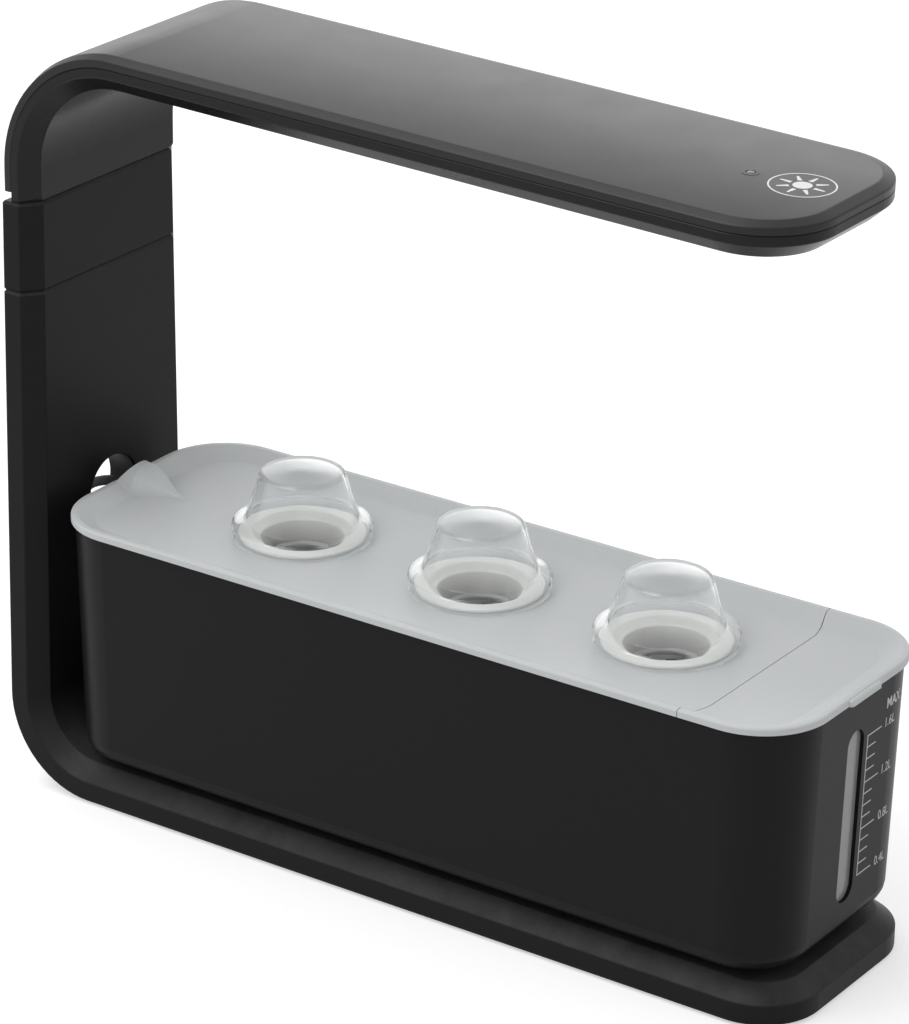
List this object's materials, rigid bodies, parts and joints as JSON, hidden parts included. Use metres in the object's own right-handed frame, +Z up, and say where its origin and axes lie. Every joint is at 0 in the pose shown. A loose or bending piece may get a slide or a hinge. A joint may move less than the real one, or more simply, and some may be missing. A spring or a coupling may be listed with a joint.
{
  "type": "countertop hydroponic garden",
  "caption": "C-shaped strip stand with a lamp arm over a long water tank; lid with planting baskets, clear germination domes, a fill door and a level window.",
  "frame": {"origin": "on the counter, under the middle of the garden's box, without the lead and plug behind it", "axes": "+X along the base, from the column to the tip of the lamp arm; +Z up; +Y across the strip, to the left when looking along +X"},
  "size_m": [0.3248, 0.0954, 0.2731],
  "materials": {
    "frame_black": "satin black moulded plastic",
    "head_black": "satin black moulded plastic",
    "cover_grey": "satin black moulded plastic with a grey sheen",
    "tank_black": "smooth black moulded plastic",
    "lid_grey": "cool light grey moulded plastic",
    "basket_white": "off-white, slightly translucent plastic",
    "dome_clear": "clear thin plastic",
    "window_clear": "clear plastic, slightly grey",
    "diffuser_frost": "frosted white plastic",
    "foot_rubber": "black rubber",
    "foot_silicone": "pale silicone",
    "screw_steel": "plated steel",
    "contact_brass": "gilded brass",
    "socket_black": "black plastic",
    "lead_black": "black flexible sheath",
    "board_green": "green circuit board",
    "board_white": "white circuit board",
    "diode_yellow": "yellow phosphor under clear resin",
    "lens_grey": "smoked light guide",
    "pump_black": "black moulded plastic",
    "rotor_white": "white moulded plastic"
  },
  "bodies": {
    "frame": {"base_frame": "frame_black", "base_cover": "frame_black", "rubber_feet": "foot_rubber", "base_screws": "screw_steel", "driver_board": "board_green", "power_inlet": "socket_black", "pump_socket": "socket_black", "column_contacts": "contact_brass", "pump_lead": "lead_black", "lead_plug": "lead_black"},
    "segment": {"extension_segment": "frame_black", "segment_contacts": "contact_brass"},
    "head": {"head_shell": "head_black", "head_cover": "cover_grey", "head_contacts": "contact_brass", "led_board": "board_white", "leds": "diode_yellow", "diffuser": "diffuser_frost", "touch_board": "board_green", "indicator_lens": "lens_grey"},
    "tank": {"tank": "tank_black", "water_window": "window_clear", "pump_body": "pump_black", "pump_cover": "pump_black", "pump_shaft": "screw_steel", "pump_feet": "foot_silicone"},
    "impeller": {"pump_rotor": "rotor_white"},
    "lid": {"lid": "lid_grey"},
    "door": {"fill_door": "lid_grey"},
    "pod_1": {"basket_1": "basket_white"},
    "cap_1": {"dome_1": "dome_clear"},
    "pod_2": {"basket_2": "basket_white"},
    "cap_2": {"dome_2": "dome_clear"},
    "pod_3": {"basket_3": "basket_white"},
    "cap_3": {"dome_3": "dome_clear"}
  },
  "joints": [
    {"name": "segment_lift", "type": "slide", "parent": "frame", "child": "segment", "axis": [0, 0, 1], "range_m": [0, 0.02]},
    {"name": "head_lift", "type": "slide", "parent": "segment", "child": "head", "axis": [0, 0, 1], "range_m": [0, 0.02]},
    {"name": "tank_slide", "type": "slide", "parent": "frame", "child": "tank", "axis": [1, 0, 0], "range_m": [0, 0.06], "deforming": ["pump_lead"]},
    {"name": "impeller_spin", "type": "hinge", "parent": "tank", "child": "impeller", "pos_m": [-0.1091, 0, 0.036], "axis": [1, 0, 0], "continuous": true},
    {"name": "lid_lift", "type": "slide", "parent": "tank", "child": "lid", "axis": [0, 0, 1], "range_m": [0, 0.045]},
    {"name": "door_lift", "type": "slide", "parent": "lid", "child": "door", "axis": [0, 0, 1], "range_m": [0, 0.02]},
    {"name": "pod_1_lift", "type": "slide", "parent": "lid", "child": "pod_1", "axis": [0, 0, 1], "range_m": [0, 0.046]},
    {"name": "dome_1_lift", "type": "slide", "parent": "pod_1", "child": "cap_1", "axis": [0, 0, 1], "range_m": [0, 0.028]},
    {"name": "pod_2_lift", "type": "slide", "parent": "lid", "child": "pod_2", "axis": [0, 0, 1], "range_m": [0, 0.046]},
    {"name": "dome_2_lift", "type": "slide", "parent": "pod_2", "child": "cap_2", "axis": [0, 0, 1], "range_m": [0, 0.028]},
    {"name": "pod_3_lift", "type": "slide", "parent": "lid", "child": "pod_3", "axis": [0, 0, 1], "range_m": [0, 0.046]},
    {"name": "dome_3_lift", "type": "slide", "parent": "pod_3", "child": "cap_3", "axis": [0, 0, 1], "range_m": [0, 0.028]}
  ]
}
